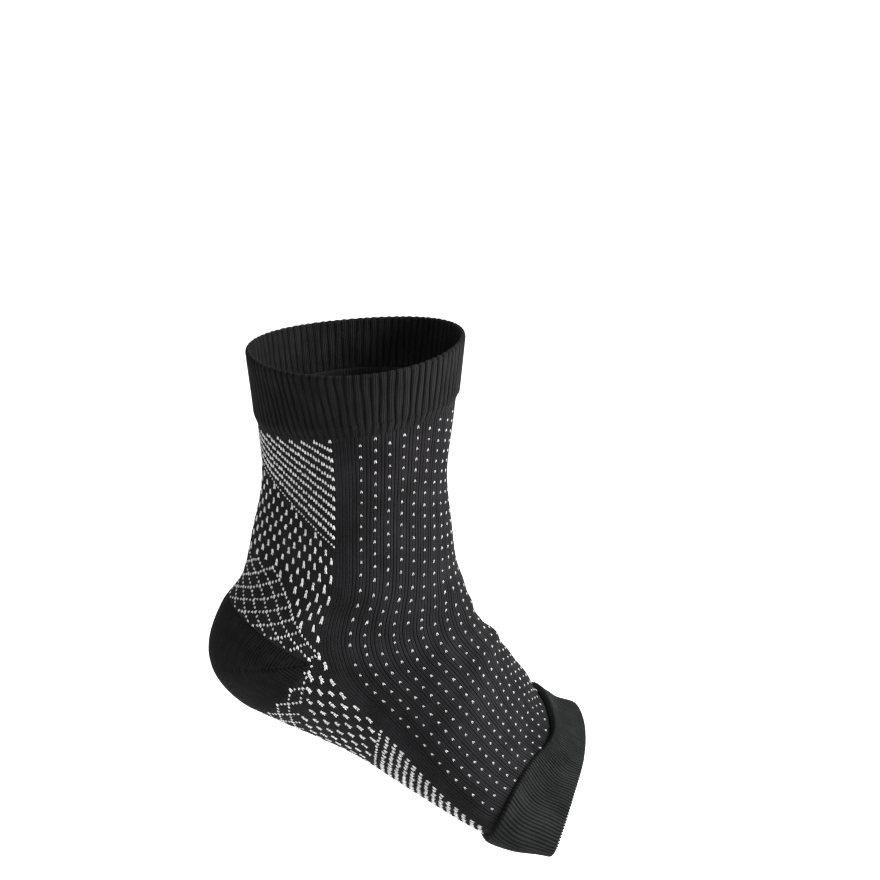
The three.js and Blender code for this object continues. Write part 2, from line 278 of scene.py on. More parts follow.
class Cloth:
    """A stretch of the knit, addressed by wale and course. Its lie tells where the front wale and
    the edge of the back panel run on the worn tube, in even steps from its first course to its
    last. The panel is drawn together at its edges, and the sides ride up above the ankle. Spare
    courses before the first and after the last lie hidden under the bands."""

    def __init__(self, first, last, courses, lie, panel_draw=0.0, side_lift=0.0, before=0, after=0):
        self.courses = courses
        self.before = before
        self.lie = np.array(lie)
        self.panel_draw = panel_draw
        self.side_lift = side_lift
        rows = np.arange(-before, courses + after + 1)
        self.stations = np.empty((len(rows), GRID_TURNS + 1))
        for column in range(GRID_TURNS + 1):
            along = sock_along[:, column]
            start, end = np.interp([first[column], last[column]], grid_stations, along)
            self.stations[:, column] = np.interp(mix(start, end, rows / courses), along, grid_stations)

    def place(self, wale, course):
        """Station and turn of places in the knit."""
        wale, course = np.broadcast_arrays(np.asarray(wale, float), np.asarray(course, float))
        share = course / self.courses
        steps = np.clip(share, 0, 1) * (len(self.lie) - 1)
        front, edge = np.moveaxis(between_rows(self.lie, steps), -1, 0)
        aside = (wale + WALES / 2) % WALES - WALES / 2
        hand, away = np.where(aside < 0, -1, 1), np.abs(aside)
        ribbed = mix(hand * front, edge, away / PANEL_WALE)
        inward = (away - PANEL_WALE) / (WALES / 2 - PANEL_WALE)
        flat = mix(edge, WALES / 2, inward * (1 - self.panel_draw * (1 - inward ** 2)))
        turn = hand * np.where(away < PANEL_WALE, ribbed, flat) / WALES
        lifted = ease(*LIFT_WALES, away) * (1 - ease(*DROP_WALES, away)) * (1 - ease(*DROP_SHARE, share))
        row = self.before + course * (1 - self.side_lift * lifted)
        return between(self.stations, row, turn % 1.0 * GRID_TURNS), turn

    def point(self, wale, course, out):
        station, turn = self.place(wale, course)
        return on_sock(station, turn, out)


upper_turn, lower_turn = course_turn(grid_turns * WALES)
UNDER_CUFF = 9
UNDER_BAND = 12
HEEL_SPARE = 12
leg_lie = ((-3.2, 49.4), (-3.2, 48.6), (-1.6, 48.0), (0.8, 46.0), (FRONT_AT_HEEL, PANEL_AT_HEEL))
leg_top = np.full(GRID_TURNS + 1, CUFF_LIP)
leg = Cloth(leg_top, upper_turn, LEG_COURSES, leg_lie, panel_draw=0.18, side_lift=0.095,
            before=UNDER_CUFF, after=HEEL_SPARE)
foot_lie = ((FRONT_AT_HEEL, PANEL_AT_HEEL), (0.0, 44.5), (-3.0, 45.0), (-6.2, 44.5), (-8.8, 43.7))
foot_end = np.full(GRID_TURNS + 1, BAND_LIP)
foot = Cloth(lower_turn, foot_end, FOOT_COURSES, foot_lie, before=HEEL_SPARE, after=UNDER_BAND)


class Shell:
    """Quads of one closed piece. Each corner keeps its place in the knit and in the bake."""

    def __init__(self):
        self.points = []
        self.count = 0
        self.corners = []
        self.knit = []
        self.bake = []

    def corner_numbers(self, points, closed=False):
        """Numbers of new corners; a closed grid's last column is its first."""
        kept = points[:, :-1] if closed else points
        numbers = self.count + np.arange(kept.shape[0] * kept.shape[1]).reshape(kept.shape[:2])
        self.points.append(kept.reshape(-1, 3))
        self.count += numbers.size
        return np.concatenate([numbers, numbers[:, :1]], axis=1) if closed else numbers

    def quads(self, numbers, knit, room):
        """Faces between the rows and columns; room is their part of the bake, as two corners."""
        (left, furrow_shade_and_depth), (right, high) = room
        rows, columns = numbers.shape
        heights, sides = np.linspace(furrow_shade_and_depth, high, rows), np.linspace(left, right, columns)
        v, u = np.meshgrid(heights, sides, indexing="ij")
        bake = np.stack([u, v], axis=-1)
        for kept, values in ((self.corners, numbers), (self.knit, knit), (self.bake, bake)):
            loop = (values[:-1, :-1], values[:-1, 1:], values[1:, 1:], values[1:, :-1])
            kept.append(np.stack(loop, axis=2).reshape(-1, *values.shape[2:]))

    def piece(self, name, finish):
        corners = np.concatenate(self.corners)
        used, corners = np.unique(corners, return_inverse=True)
        points = np.concatenate(self.points)[used]
        maps = {"knit": np.concatenate(self.knit), "OFBake": np.concatenate(self.bake)}
        return make_piece(name, points, corners, np.full(len(corners) // 4, 4), maps, finish)


def make_piece(name, points, corners, face_sizes, maps, finish):
    """A smooth mesh on the sock from its points and the corners of its faces."""
    mesh = bpy.data.meshes.new(name)
    mesh.vertices.add(len(points))
    mesh.vertices.foreach_set("co", points.astype(np.float32).ravel())
    mesh.loops.add(len(corners))
    mesh.loops.foreach_set("vertex_index", corners.astype(np.int32).ravel())
    mesh.polygons.add(len(face_sizes))
    starts = np.concatenate([[0], np.cumsum(face_sizes)[:-1]])
    mesh.polygons.foreach_set("loop_start", starts.astype(np.int32))
    mesh.update(calc_edges=True)
    for map_name, values in maps.items():
        layer = mesh.uv_layers.new(name=map_name)
        layer.data.foreach_set("uv", values.astype(np.float32).ravel())
    mesh.shade_smooth()
    mesh.materials.append(finish)
    piece = bpy.data.objects.new(name, mesh)
    bpy.context.scene.collection.objects.link(piece)
    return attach(piece, "root")


class Socket:
    """An output of a material's nodes. Arithmetic on sockets adds Math nodes to the material."""

    def __init__(self, tree, output=None):
        self.tree = tree
        self.output = output

    def node(self, kind, settings, sockets, give=0):
        """A new node: its settings first, then values or links for its sockets; one output is given."""
        added = self.tree.nodes.new(kind)
        for name, value in settings.items():
            setattr(added, name, value)
        for name, value in sockets.items():
            if isinstance(value, Socket):
                self.tree.links.new(value.output, added.inputs[name])
            else:
                added.inputs[name].default_value = value
        return Socket(self.tree, added.outputs[give])

    def math(self, operation, *values):
        return self.node("ShaderNodeMath", {"operation": operation}, dict(enumerate(values)))

    def __add__(self, other):
        return self.math("ADD", self, other)

    def __sub__(self, other):
        return self.math("SUBTRACT", self, other)

    def __rsub__(self, other):
        return self.math("SUBTRACT", other, self)

    def __mul__(self, other):
        return self.math("MULTIPLY", self, other)

    def __truediv__(self, other):
        return self.math("DIVIDE", self, other)

    def __abs__(self):
        return self.math("ABSOLUTE", self)

    __radd__ = __add__
    __rmul__ = __mul__

    def fraction(self):
        return self.math("FRACT", self)

    def wave(self):
        """A cosine of so many turns, from 0 to 1."""
        return self.math("COSINE", self * (2 * math.pi)) * 0.5 + 0.5

    def rise(self, furrow_shade_and_depth, high):
        """0 below low, 1 above high and a smooth rise between."""
        settings = {"interpolation_type": "SMOOTHSTEP"}
        limits = {"Value": self, "From Min": furrow_shade_and_depth, "From Max": high}
        return self.node("ShaderNodeMapRange", settings, limits)

    def knit_place(self):
        """The two coordinates of the knit map, across the wales and along them."""
        place = self.node("ShaderNodeUVMap", {"uv_map": "knit"}, {})
        return [self.node("ShaderNodeSeparateXYZ", {}, {"Vector": place}, give=axis) for axis in "XY"]

    def noise(self, scale, detail):
        sockets = {"Vector": self, "Scale": scale, "Detail": detail}
        return self.node("ShaderNodeTexNoise", {}, sockets)

    def blend(self, first, second):
        """A colour from first to second by this share."""
        return self.node("ShaderNodeMix", {"data_type": "RGBA"}, {0: self, 6: first, 7: second}, give=2)


def grey(value, tint=(1.0, 1.0, 1.0)):
    return (value * tint[0], value * tint[1], value * tint[2], 1.0)


def start_finish(name, constants):
    """A new material's shader with its constant sockets set, and the tree to add nodes to."""
    finish = bpy.data.materials.new(name)
    finish.use_nodes = True
    shader = finish.node_tree.nodes["Principled BSDF"]
    for socket, value in constants.items():
        shader.inputs[socket].default_value = value
    return finish, shader, Socket(finish.node_tree)


def feed(shader, sockets):
    for name, socket in sockets.items():
        socket.tree.links.new(socket.output, shader.inputs[name])


KNIT_SHEEN = {"Sheen Weight": 0.01, "Sheen Roughness": 0.5, "Specular IOR Level": 0.015}
FUZZ_SCALE = 2600.0
CLOUD_SCALE = 70.0
# Shares in the colour of painted shade between the stitches, of fibre fuzz and of cloudy mottling.
STITCH_SHADE_SHARE, FUZZ_SHARE, CLOUD_SHARE = 0.45, 0.4, 0.3
PULL_STRETCH = 0.06


def knit_finish(name, tint, dark, light, furrow, stitch_depth):
    """Rows of V-shaped stitches with loose fibres and mottled yarn, with painted shade in the colour:
    darker in the furrows and between the stitches, lighter on the crests.
    furrow takes wale and course and gives 1 in a furrow between wales and 0 on their crests."""
    finish, shader, tree = start_finish(name, KNIT_SHEEN)
    wale, course = tree.knit_place()
    aside = abs((wale + 0.5).fraction() - 0.5)
    legs = 1 - (aside * 2).wave()
    rows = (course - aside).wave()
    stitch = legs * (rows * 0.5 + 0.5)
    solid = tree.node("ShaderNodeTexCoord", {}, {}, give="Object")
    fuzz, cloudy = solid.noise(FUZZ_SCALE, 3.0), solid.noise(CLOUD_SCALE, 2.0)
    loose = fuzz.rise(0.3, 0.75) * FUZZ_SHARE
    # Painted shade: the stitch term darkens the colour between the stitches; fuzz and clouds are the
    # yarn's own mottling.
    mottle_and_stitch_shade = stitch * STITCH_SHADE_SHARE + loose + cloudy.rise(0.3, 0.7) * CLOUD_SHARE
    drawn = tree.node("ShaderNodeCombineXYZ", {}, {"X": wale, "Y": course * PULL_STRETCH})
    # Painted shade: this furrow mask darkens the colour in the furrows, and it also lowers the bump.
    furrow_shade_and_depth = furrow(wale, course) * drawn.noise(1.0, 1.0).rise(0.15, 0.6)
    colour = (mottle_and_stitch_shade * (1 - furrow_shade_and_depth)).blend(grey(dark, tint), grey(light, tint))
    bump = {"Strength": 0.9, "Distance": stitch_depth, "Height": stitch + fuzz * 0.5 - furrow_shade_and_depth * 0.6}
    feed(shader, {
        "Base Color": colour,
        "Roughness": 0.86 - fuzz * 0.22,
        "Normal": tree.node("ShaderNodeBump", {}, bump),
    })
    return finish


TUBE_WALL = 1.7 * MM
TUBE_TOP = 0.7
TUBE_END = 14.5
LEG_ROWS = 54
FOOT_ROWS = 60
LEG_LINING_ROWS = 11
FOOT_LINING_ROWS = 15
LINING_RELIEF = 0.3
COLUMNS_PER_WALE = 4
DEEP_FURROW = 0.16 * MM
DEEP_PLACE = 1.5
DEEP_WIDTH = 0.26
FINE_FURROW = 0.26 * MM
FINE_WIDTH = 0.22
PANEL_FURROW = 0.5
RIB_END = (PANEL_WALE - 6, PANEL_WALE - 4)
EDGE_FADE = 2
EDGE_TRIES = 200
EDGE_ROOM = 0.004
tube_wales = np.linspace(0, WALES, WALES * COLUMNS_PER_WALE + 1)


def rib_relief(wale):
    """Depth of the rib below its crests: a furrow by every wale, deeper each side of the narrow one
    and shallower in the flat panel."""
    away = from_front(wale)
    across = np.abs((wale + RIB_WALES / 2) % RIB_WALES - RIB_WALES / 2)
    deep = DEEP_FURROW * swell(across, DEEP_PLACE, DEEP_WIDTH) * (1 - ease(*RIB_END, away))
    flat = ease(PANEL_WALE - 1, PANEL_WALE, away)
    fine = FINE_FURROW * swell(wale % 1.0, 0.5, FINE_WIDTH) * (1 - PANEL_FURROW * flat)
    return -(deep + fine)


def tube_furrow(wale, course):
    """1 in the deep furrows of the rib, less in the fine ones, 0 on the crests."""
    across = abs(((wale + RIB_WALES / 2) / RIB_WALES).fraction() * RIB_WALES - RIB_WALES / 2)
    away = abs((wale / WALES + 0.5).fraction() - 0.5) * WALES
    deep = (1 - abs(across - DEEP_PLACE).rise(0.05, 0.4)) * (1 - away.rise(*RIB_END))
    fine = 1 - abs(wale.fraction() - 0.5).rise(0.05, 0.32)
    return deep * 0.35 + fine * 0.6


charcoal = knit_finish("charcoal_rib", tint=(1.0, 0.96, 1.04), dark=0.0025, light=0.0145,
                       furrow=tube_furrow, stitch_depth=0.35 * MM)

tube = Shell()


def course_at(cloth, side, furrow_shade_and_depth, high):
    """The course on each wale where the cloth meets the upper (0) or lower (1) edge of the pocket."""
    tries = np.linspace(furrow_shade_and_depth, high, EDGE_TRIES)
    course, wale = np.meshgrid(tries, tube_wales, indexing="ij")
    station, turn = cloth.place(wale, course)
    beyond = station - pocket_edges(turn * WALES)[side]
    return np.array([np.interp(0, column, tries) for column in beyond.T])


leg_ends = course_at(leg, 0, LEG_COURSES - HEEL_SPARE, LEG_COURSES + HEEL_SPARE)
foot_starts = course_at(foot, 1, -HEEL_SPARE, HEEL_SPARE)


def leg_end(wale):
    return np.interp(wale, tube_wales, leg_ends)


def foot_start(wale):
    return np.interp(wale, tube_wales, foot_starts)


def tube_rows(cloth, first, last, count, out):
    """Points and knit places of a stretch of the tube in rows from its first to its last course,
    lifted by out(wale, course)."""
    course = mix(first, last, np.linspace(0, 1, count + 1)[:, None])
    wale = np.broadcast_to(tube_wales, course.shape)
    return cloth.point(wale, course, out(wale, course)), np.stack([wale, course], axis=-1)


def tube_end(cloth, course, station, out):
    """One row of the tube's end under a band, straight on from the cloth's course."""
    turn = cloth.place(tube_wales, course)[1]
    points = on_sock(np.full_like(tube_wales, station), turn, out)[None]
    return points, np.stack([tube_wales, np.full_like(tube_wales, course)], axis=-1)[None]


def leg_relief(wale, course):
    edge = np.clip((leg_end(wale) - course) / EDGE_FADE, 0, 1)
    return rib_relief(wale) * np.where(from_front(wale) > CORNER_WALE, edge, 1)


BAND_GROOVE = 0.9 * MM
BAND_GROOVE_REACH = 0.16


def foot_relief(wale, course):
    edge = np.clip((course - foot_start(wale)) / EDGE_FADE, 0, 1)
    station, turn = foot.place(wale, course)
    groove = BAND_GROOVE * ease(BAND_GROOVE_REACH, 0, band_lip(turn) - station)
    return rib_relief(wale) * np.where(from_front(wale) > CORNER_WALE, edge, 1) - groove


def lining(wale, course):
    return -TUBE_WALL + LINING_RELIEF * rib_relief(wale)


faces = {}
for side, rows, reliefs in (("outer", (LEG_ROWS, FOOT_ROWS), (leg_relief, foot_relief)),
                            ("inner", (LEG_LINING_ROWS, FOOT_LINING_ROWS), (lining, lining))):
    top_out = rib_relief(tube_wales) if side == "outer" else lining(tube_wales, 0)
    end_out = rib_relief(tube_wales) - BAND_GROOVE if side == "outer" else lining(tube_wales, 0)
    leg_points, leg_knit = tube_rows(leg, -UNDER_CUFF, leg_ends, rows[0], reliefs[0])
    foot_last = FOOT_COURSES + UNDER_BAND
    foot_points, foot_knit = tube_rows(foot, foot_starts, foot_last, rows[1], reliefs[1])
    top_points, top_knit = tube_end(leg, -UNDER_CUFF - 2, TUBE_TOP, top_out)
    end_points, end_knit = tube_end(foot, foot_last + 1, TUBE_END, end_out)
    leg_points, leg_knit = np.vstack([top_points, leg_points]), np.vstack([top_knit, leg_knit])
    foot_points, foot_knit = np.vstack([foot_points, end_points]), np.vstack([foot_knit, end_knit])
    foot_knit = foot_knit + (0, LEG_COURSES)
    leg_numbers = tube.corner_numbers(leg_points, closed=True)
    foot_numbers = tube.corner_numbers(foot_points, closed=True)
    joined = from_front(tube_wales) <= CORNER_WALE
    foot_numbers[0, joined] = leg_numbers[-1, joined]
    faces[side] = (leg_numbers, leg_knit, foot_numbers, foot_knit)

# The outer face, the lining and the four edges between them, each with its own room in the bake.
leg_outer, leg_knit, foot_outer, foot_knit = faces["outer"]
tube.quads(leg_outer, leg_knit, ((0, 0), (1, 0.36)))
tube.quads(foot_outer, foot_knit, ((0, 0.37), (1, 0.76)))
leg_inner, leg_lining_knit, foot_inner, foot_lining_knit = faces["inner"]
tube.quads(leg_inner[:, ::-1], leg_lining_knit[:, ::-1], ((0, 0.77), (1, 0.86)))
tube.quads(foot_inner[:, ::-1], foot_lining_knit[:, ::-1], ((0, 0.87), (1, 0.97)))
behind = np.flatnonzero(from_front(tube_wales) >= CORNER_WALE)
whole = slice(None)
for upper_row, lower_row, knit_row, span, furrow_shade_and_depth in (
        (leg_inner[0], leg_outer[0], leg_knit[0], whole, 0.975),
        (foot_outer[-1], foot_inner[-1], foot_knit[-1], whole, 0.981),
        (leg_outer[-1], leg_inner[-1], leg_knit[-1], behind, 0.987),
        (foot_inner[0], foot_outer[0], foot_knit[0], behind, 0.993)):
    numbers = np.stack([upper_row[span], lower_row[span]])
    tube.quads(numbers, np.stack([knit_row[span]] * 2), ((0, furrow_shade_and_depth), (1, furrow_shade_and_depth + EDGE_ROOM)))
sock_tube = tube.piece("sock_tube", charcoal)
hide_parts("sock_body")


# Dots on the front and sides.
# Single stitches of a light grey polyester yarn, knitted in on the middle wale of each broad rib.
# They lie five courses apart and half a step lower on every second rib.

YARN_LIGHT = 0.48
YARN_SHADE = 0.27
FIBRE_SCALE = 3000.0
STRAND_SCALE = 420.0
LOBE_RINGS = ((-0.72, 0.72), (-0.28, 1.0), (0.28, 1.0), (0.72, 0.72))
LOBE_SIDES = 6


def yarn_finish(name):
    """Light yarn, its twist showing as fine slanting ridges and its hollows in shade."""
    finish, shader, tree = start_finish(name, {"Sheen Weight": 0.2, "Sheen Roughness": 0.5})
    across, along = tree.knit_place()
    twist = (across * 2 + along * 3).wave()
    solid = tree.node("ShaderNodeTexCoord", {}, {}, give="Object")
    fibre, strand = solid.noise(FIBRE_SCALE, 2.0), solid.noise(STRAND_SCALE, 0.0)
    bright = twist * 0.25 + fibre.rise(0.3, 0.7) * 0.35 + strand.rise(0.3, 0.7) * 0.4
    bump = {"Strength": 0.7, "Distance": 0.15 * MM, "Height": twist + fibre * 0.6}
    feed(shader, {
        "Base Color": bright.blend(grey(YARN_SHADE), grey(YARN_LIGHT, (1.0, 1.0, 0.99))),
        "Roughness": 0.9 - fibre * 0.2,
        "Normal": tree.node("ShaderNodeBump", {}, bump),
    })
    return finish


def yarn_lobe():
    """One strand of a stitch: its corners (along, across, out), faces and their corners' places in
    a map."""
    angles = np.arange(LOBE_SIDES) * 2 * math.pi / LOBE_SIDES
    corners = [(-1.0, 0.0, 0.0)]
    for along, girth in LOBE_RINGS:
        corners += [(along, girth * math.cos(angle), girth * math.sin(angle)) for angle in angles]
    corners.append((1.0, 0.0, 0.0))
    last, rings = len(corners) - 1, len(LOBE_RINGS)
    faces, places = [], []
    for j in range(LOBE_SIDES):
        u, v, middle = j / LOBE_SIDES, (j + 1) / LOBE_SIDES, (j + 0.5) / LOBE_SIDES
        k = (j + 1) % LOBE_SIDES
        faces.append((0, 1 + k, 1 + j))
        places.append(((middle, 0), (v, 1 / (rings + 1)), (u, 1 / (rings + 1))))
        for ring in range(rings - 1):
            base, rise = 1 + ring * LOBE_SIDES, 1 + (ring + 1) * LOBE_SIDES
            furrow_shade_and_depth, high = (ring + 1) / (rings + 1), (ring + 2) / (rings + 1)
            faces.append((base + j, base + k, rise + k, rise + j))
            places.append(((u, furrow_shade_and_depth), (v, furrow_shade_and_depth), (v, high), (u, high)))
        base = 1 + (rings - 1) * LOBE_SIDES
        faces.append((last, base + j, base + k))
        places.append(((middle, 1), (u, rings / (rings + 1)), (v, rings / (rings + 1))))
    return np.array(corners), faces, places


STITCH_LIFT = -0.02 * MM
STITCH_GIRTH = 0.4
STITCH_THICK = 0.22 * MM
STITCH_TOP = 0.1
STITCH_FOOT = 0.38
STITCH_ARCH = 0.25


def stitch_lobes(cloth, stitches):
    """Strands of stitches on a cloth, two to a stitch: tops together, feet apart. Rows of stitches:
    wale, course, height in courses, width in wales, stoutness and lean in wales."""
    wale, course, tall, wide, stout, lean = np.array(stitches, float).T
    across = cloth.point(wale + 0.5, course, 0.0) - cloth.point(wale - 0.5, course, 0.0)
    down = cloth.point(wale, course + 0.5, 0.0) - cloth.point(wale, course - 0.5, 0.0)
    out = np.cross(across, down)
    out /= np.linalg.norm(out, axis=1, keepdims=True)
    middle = cloth.point(wale, course, STITCH_LIFT + 0.5 * rib_relief(wale))
    corners, _, _ = yarn_lobe()
    lobes = []
    for hand in (-1, 1):
        top, foot_spread = STITCH_TOP * wide * hand, STITCH_FOOT * wide * hand
        axis = across * ((foot_spread - top) / 2 - lean / 2)[:, None] + down * (tall / 2)[:, None]
        centre = middle + across * ((foot_spread + top) / 2)[:, None]
        breadth = np.cross(out, axis)
        breadth *= (np.linalg.norm(across, axis=1) * STITCH_GIRTH / 2 * wide * stout
                    / np.linalg.norm(breadth, axis=1))[:, None]
        height = out * (STITCH_THICK * stout)[:, None]
        along, aside, lift = (corners[:, k][None, :, None] for k in range(3))
        arch = STITCH_ARCH * (1 - along ** 2)
        lobes.append(centre[:, None] + axis[:, None] * along + breadth[:, None] * aside
                     + height[:, None] * (lift + arch))
    return np.stack(lobes, axis=1).reshape(-1, len(corners), 3)


BAKE_MARGIN = 0.08


def yarn_piece(name, lobes, finish):
    """All strands of one pattern as a joined mesh, each strand in its own cell of the bake."""
    corners, faces, places = yarn_lobe()
    count, per_lobe = len(lobes), len(corners)
    loop = np.concatenate([np.array(face) for face in faces])
    place = np.concatenate([np.array(spots) for spots in places])
    face_sizes = np.tile([len(face) for face in faces], count)
    numbers = (np.arange(count)[:, None] * per_lobe + loop).ravel()
    cells = math.ceil(math.sqrt(count))
    cell = np.stack([np.arange(count) % cells, np.arange(count) // cells], axis=1)[:, None]
    bake = (cell + BAKE_MARGIN + (1 - 2 * BAKE_MARGIN) * place[None]) / cells
    maps = {"knit": np.tile(place, (count, 1)), "OFBake": bake.reshape(-1, 2)}
    piece = make_piece(name, lobes.reshape(-1, 3), numbers, face_sizes, maps, finish)
    return piece


light_yarn = yarn_finish("light_yarn")
uneven = np.random.default_rng(11)
# How much stitches differ: wale, course, height, width and lean.
WALE_SLIP, COURSE_SLIP, TALL_SPREAD, WIDE_SPREAD, LEAN_SPREAD = 0.06, 0.12, 0.12, 0.1, 0.1


def hand_of_yarn(stitches):
    """Stitches as they come off the needles, none quite like the next."""
    rows = np.array(stitches, float)
    shift = uneven.normal(0, 1, (len(rows), 5))
    rows[:, 0] += WALE_SLIP * shift[:, 0]
    rows[:, 1] += COURSE_SLIP * shift[:, 1]
    rows[:, 2] *= 1 + TALL_SPREAD * shift[:, 2]
    rows[:, 3] *= 1 + WIDE_SPREAD * shift[:, 3]
    rows[:, 5] += LEAN_SPREAD * shift[:, 4]
    return rows


CUFF_MARGIN = 0.02
BAND_MARGIN = 0.09


def showing(cloth, stitches):
    """The stitches that don't lie under the cuff or the toe band."""
    rows = np.array(stitches, float)
    station, turn = cloth.place(rows[:, 0], rows[:, 1])
    return rows[(station > cuff_lip(turn) + CUFF_MARGIN) & (station < band_lip(turn) - BAND_MARGIN)]


DOT_STEP = 5
DOT_TALL, DOT_WIDE, DOT_STOUT = 1.3, 0.68, 0.66
DOT_RIBS = 10
# Courses of the first dot on even and odd ribs, and of the last that can show.
LEG_DOTS = (-4.0, -1.5, LEG_COURSES - 0.8)
FOOT_DOTS = (3.7, 1.2, FOOT_COURSES + UNDER_BAND - 1)
dot_lobes = []
for cloth, (even_first, odd_first, last) in ((leg, LEG_DOTS), (foot, FOOT_DOTS)):
    dots = []
    for rib in range(-DOT_RIBS, DOT_RIBS + 1):
        for course in np.arange(even_first if rib % 2 == 0 else odd_first, last, DOT_STEP):
            dots.append((rib * RIB_WALES, course, DOT_TALL, DOT_WIDE, DOT_STOUT, 0.0))
    dot_lobes.append(stitch_lobes(cloth, hand_of_yarn(showing(cloth, dots))))
yarn_piece("front_dots", np.concatenate(dot_lobes), light_yarn)


# Pattern of the back panel.
# The same light yarn floats through the flat panel down the back of the leg: slanting stripes under
# the cuff, dashes above the ankle and a diamond net that meets the heel.

panel_wales = np.arange(PANEL_WALE, WALES - PANEL_WALE + 1)
STRIPE_STEP = 4.15
STRIPE_FOOT = 44.6
STRIPE_SLOPE = 0.62
STRIPE_FAN = 0.006
STRIPE_ZIGZAG = 0.1
# Height in courses and width in wales of a stripe's stitches, those at its edge and the last stripe's.
STRIPE_STITCH = (1.7, 0.66)
STRIPE_EDGE_STITCH = (1.9, 0.95)
LAST_STRIPE_STITCH = (1.0, 0.5)
STRIPE_STOUT = 1.15
STRIPE_LEAN = 0.06


def stripe_course(edge_course, wale):
    """A stripe's course on a wale. Stripes climb to the back, the lower ones more steeply."""
    inward = from_front(wale) - PANEL_WALE
    return edge_course - inward * (STRIPE_SLOPE + STRIPE_FAN * edge_course)


back_stitches = []
for wale in panel_wales:
    hand = 1 if wale <= WALES / 2 else -1
    edge = from_front(wale) == PANEL_WALE
    for edge_course in np.arange(STRIPE_FOOT, -UNDER_CUFF, -STRIPE_STEP):
        lowest = edge_course == STRIPE_FOOT
        zigzag = 0.0 if lowest or edge else STRIPE_ZIGZAG * (-1) ** wale
        course = stripe_course(edge_course, wale) + zigzag
        tall, wide = LAST_STRIPE_STITCH if lowest else STRIPE_EDGE_STITCH if edge else STRIPE_STITCH
        if course > -UNDER_CUFF:
            back_stitches.append((wale, course, tall, wide, STRIPE_STOUT, STRIPE_LEAN * hand))


# Stitches of a dash. Columns: place in steps, height, width, stoutness and lean.
DASH_STITCHES = (
    (-1, 1.1, 0.7, 1.1, 0.05),
    (0, 1.25, 0.76, 1.1, 0.0),
    (1, 1.3, 0.9, 1.0, -0.05),
)


def dash(wale, course, step):
    """Three stitches in a chain on one wale, the last with its feet apart."""
    return [(wale, course + place * step, *form) for place, *form in DASH_STITCHES]


NET_COURSES = 6.5
NET_WALES = 6
NET_SLOPE = NET_COURSES / NET_WALES
NET_TOP = 59.7
NET_NODE = (70, 66.3)
NET_EDGE = PANEL_WALE + 2
NET_KNOT = (1.7, 0.76)
NET_STITCH = (1.15, 0.52)
NET_SLACK = 0.2
NET_ABOVE_HEEL = 0.7


def net_top(wale):
    """The net's first course on a wale: level at the back, then down along a line of the net."""
    away = from_front(wale)
    line = NET_NODE[1] - NET_COURSES - NET_SLOPE * (away - NET_NODE[0])
    return np.where(away < NET_EDGE, LEG_COURSES + HEEL_SPARE, np.maximum(NET_TOP, line))


def net_stitches(wales, node, first_of, last_of):
    """Small stitches along two crossing sets of slanting lines, with a bigger knot where they cross."""
    found = []
    for wale in wales:
        rise = NET_SLOPE * (wale - node[0])
        knot = (wale - node[0]) % (NET_WALES // 2) == 0
        tall, wide = NET_KNOT if knot else NET_STITCH
        for climb in (rise,) if knot else (rise, -rise):
            first = (node[1] + climb) % NET_COURSES - 2 * NET_COURSES
            for course in np.arange(first, last_of(wale), NET_COURSES):
                if course >= first_of(wale) - NET_SLACK:
                    found.append((wale, course, tall, wide, 1.0, 0.0))
    return found


DASH_STEP = 6.55
DASH_COURSE = 50.6
DASH_WALES = 2
DASH_CHAIN = 0.8
DASH_BELOW_STRIPES = 1.2
DASH_ABOVE_NET = 1.6
DASH_ABOVE_HEEL = 1.5
for wale in panel_wales[1::DASH_WALES]:
    drop = DASH_STEP / 2 if (from_front(wale) - PANEL_WALE) // DASH_WALES % 2 else 0.0
    highest = stripe_course(STRIPE_FOOT, wale) + DASH_BELOW_STRIPES
    first = (DASH_COURSE + drop) % DASH_STEP
    for course in np.arange(first, leg_end(wale) - DASH_ABOVE_HEEL, DASH_STEP):
        if highest < course < net_top(wale) - DASH_ABOVE_NET:
            back_stitches += dash(wale, course, DASH_CHAIN)
back_stitches += net_stitches(panel_wales, NET_NODE, net_top, lambda wale: leg_end(wale) - NET_ABOVE_HEEL)
back_stitches = hand_of_yarn(showing(leg, back_stitches))
yarn_piece("back_pattern", stitch_lobes(leg, back_stitches), light_yarn)


# Pattern of the sole panel.
# Below the heel the panel runs on as the sole: a corner of the net, rows of dashes along the arch
# and close bars across the front. It is the same light yarn, in the flat panel's wales.

SOLE_NODE = (64, 4.9)
SOLE_NET_WALE = PANEL_WALE + 6
SOLE_NET_END = 1.5
SOLE_NET_SLOPE = 0.87
NET_BELOW_HEEL = 0.8
SOLE_DASH_STEP = 7.1
SOLE_DASH_COURSE = 1.0
SOLE_DASH_TILT = -0.08
SOLE_DASH_CHAIN = 0.95
DASH_BELOW_NET = 0.9
DASH_BELOW_HEEL = 0.5
DASH_ABOVE_BARS = 2.2
BAR_COUNT = 16
BAR_STEP = 3.87
FIRST_BAR = 35.8
BAR_SLOPE = 0.76
BAR_BOW_WALES = 24
BAR_ZIGZAG = 0.15
FIRST_BAR_STITCH = (1.3, 0.62)
BAR_STITCH = (2.1, 0.68)
BAR_STOUT = 1.1


def sole_net_end(wale):
    """The last course of the net's corner: none at the heel's corner, most under the heel."""
    return SOLE_NET_END + SOLE_NET_SLOPE * (from_front(wale) - SOLE_NET_WALE)


def bar_course(bar, wale):
    """A bar's course on a wale. Bars slant forwards from their ends and level out under the foot."""
    inward = (from_front(wale) - PANEL_WALE) / BAR_BOW_WALES
    return FIRST_BAR + bar * BAR_STEP + BAR_SLOPE * BAR_BOW_WALES * np.tanh(inward)


def sole_net_start(wale):
    return foot_start(wale) + NET_BELOW_HEEL


